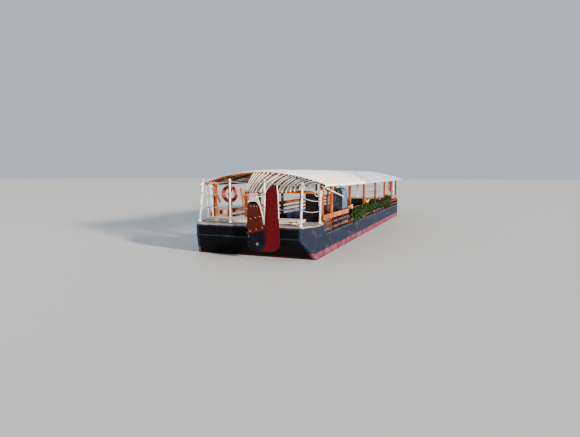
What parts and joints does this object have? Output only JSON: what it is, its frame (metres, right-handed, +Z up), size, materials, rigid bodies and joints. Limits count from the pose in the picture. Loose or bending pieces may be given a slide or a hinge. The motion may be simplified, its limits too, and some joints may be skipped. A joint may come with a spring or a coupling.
{
  "type": "canal barge",
  "caption": "Flat-bottomed square-ended passenger barge with a canvas canopy on wooden posts, side benches, and a lifting rudder blade on the stern.",
  "frame": {"origin": "centre of the flat bottom, on its underside, midway between stern and bow transoms", "axes": "+Y towards the bow, +X to starboard, +Z up; the waterline is at z = 0.400"},
  "size_m": [3.7083, 14.2406, 2.635],
  "materials": {
    "hull_paint": "satin dark blue-grey paint, weathered",
    "dark_paint": "dull black-brown paint",
    "border_paint": "satin blue-grey paint",
    "cap_paint": "satin light blue-grey paint",
    "deck_boards": "bare weathered boards",
    "floor_boards": "bare worn boards",
    "stained_wood": "orange-brown stain, worn",
    "rust_board": "red-brown stain",
    "canvas": "cream canvas, matt",
    "white_metal": "white paint on posts, white rope between",
    "galvanised": "dull zinc",
    "plate_paint": "satin dark blue-grey paint",
    "red_paint": "satin red paint, scuffed",
    "ring_plastic": "matt, sun-faded",
    "locker_paint": "satin blue-grey paint",
    "pole_wood": "varnished, orange tip",
    "box_wood": "dark green stain",
    "leaves": null
  },
  "bodies": {
    "barge": {"hull_bottom": "dark_paint", "hull_side_starboard": "hull_paint", "hull_side_port": "hull_paint", "hull_stern": "dark_paint", "hull_bow": "dark_paint", "nameboard_border": "border_paint", "aft_deck": "deck_boards", "fore_deck": "deck_boards", "aft_bulkhead": "dark_paint", "fore_bulkhead": "dark_paint", "floor": "floor_boards", "stern_platform": "deck_boards", "companion_steps": "stained_wood", "gunwale_cap_starboard": "cap_paint", "gunwale_cap_port": "cap_paint", "side_rail_starboard": "stained_wood", "side_rail_port": "stained_wood", "post_row_starboard": "stained_wood", "post_row_port": "stained_wood", "roof_frame": "stained_wood", "canopy": "canvas", "aft_tie_beam": "rust_board", "aft_middle_post": "stained_wood", "aft_panel": "dark_paint", "end_curtain": "canvas", "bench_starboard": "stained_wood", "bench_port": "stained_wood", "stern_railing": "white_metal", "bow_railing": "white_metal", "rudder_gudgeons": "galvanised", "life_ring_stern": "ring_plastic", "life_ring_bow": "ring_plastic", "domed_locker": "locker_paint", "boat_pole": "pole_wood", "grab_rail_port": "stained_wood", "grab_rail_middle": "stained_wood", "flower_boxes": "box_wood", "flowers": "leaves"},
    "rudder": {"rudder_pintle": "galvanised", "rudder_plate": "plate_paint", "rudder_cheek_board": "rust_board", "rudder_bolt": "galvanised"},
    "blade": {"rudder_blade": "red_paint"}
  },
  "joints": [
    {"name": "rudder_swing", "type": "hinge", "parent": "barge", "child": "rudder", "pos_m": [0.14, -7.135, 1.0775], "axis": [0, 0, -1], "range_deg": [0, 160]},
    {"name": "blade_lift", "type": "hinge", "parent": "rudder", "child": "blade", "pos_m": [0.39, -7.15, 0.826], "axis": [0, 1, 0], "range_deg": [0, 95]}
  ]
}
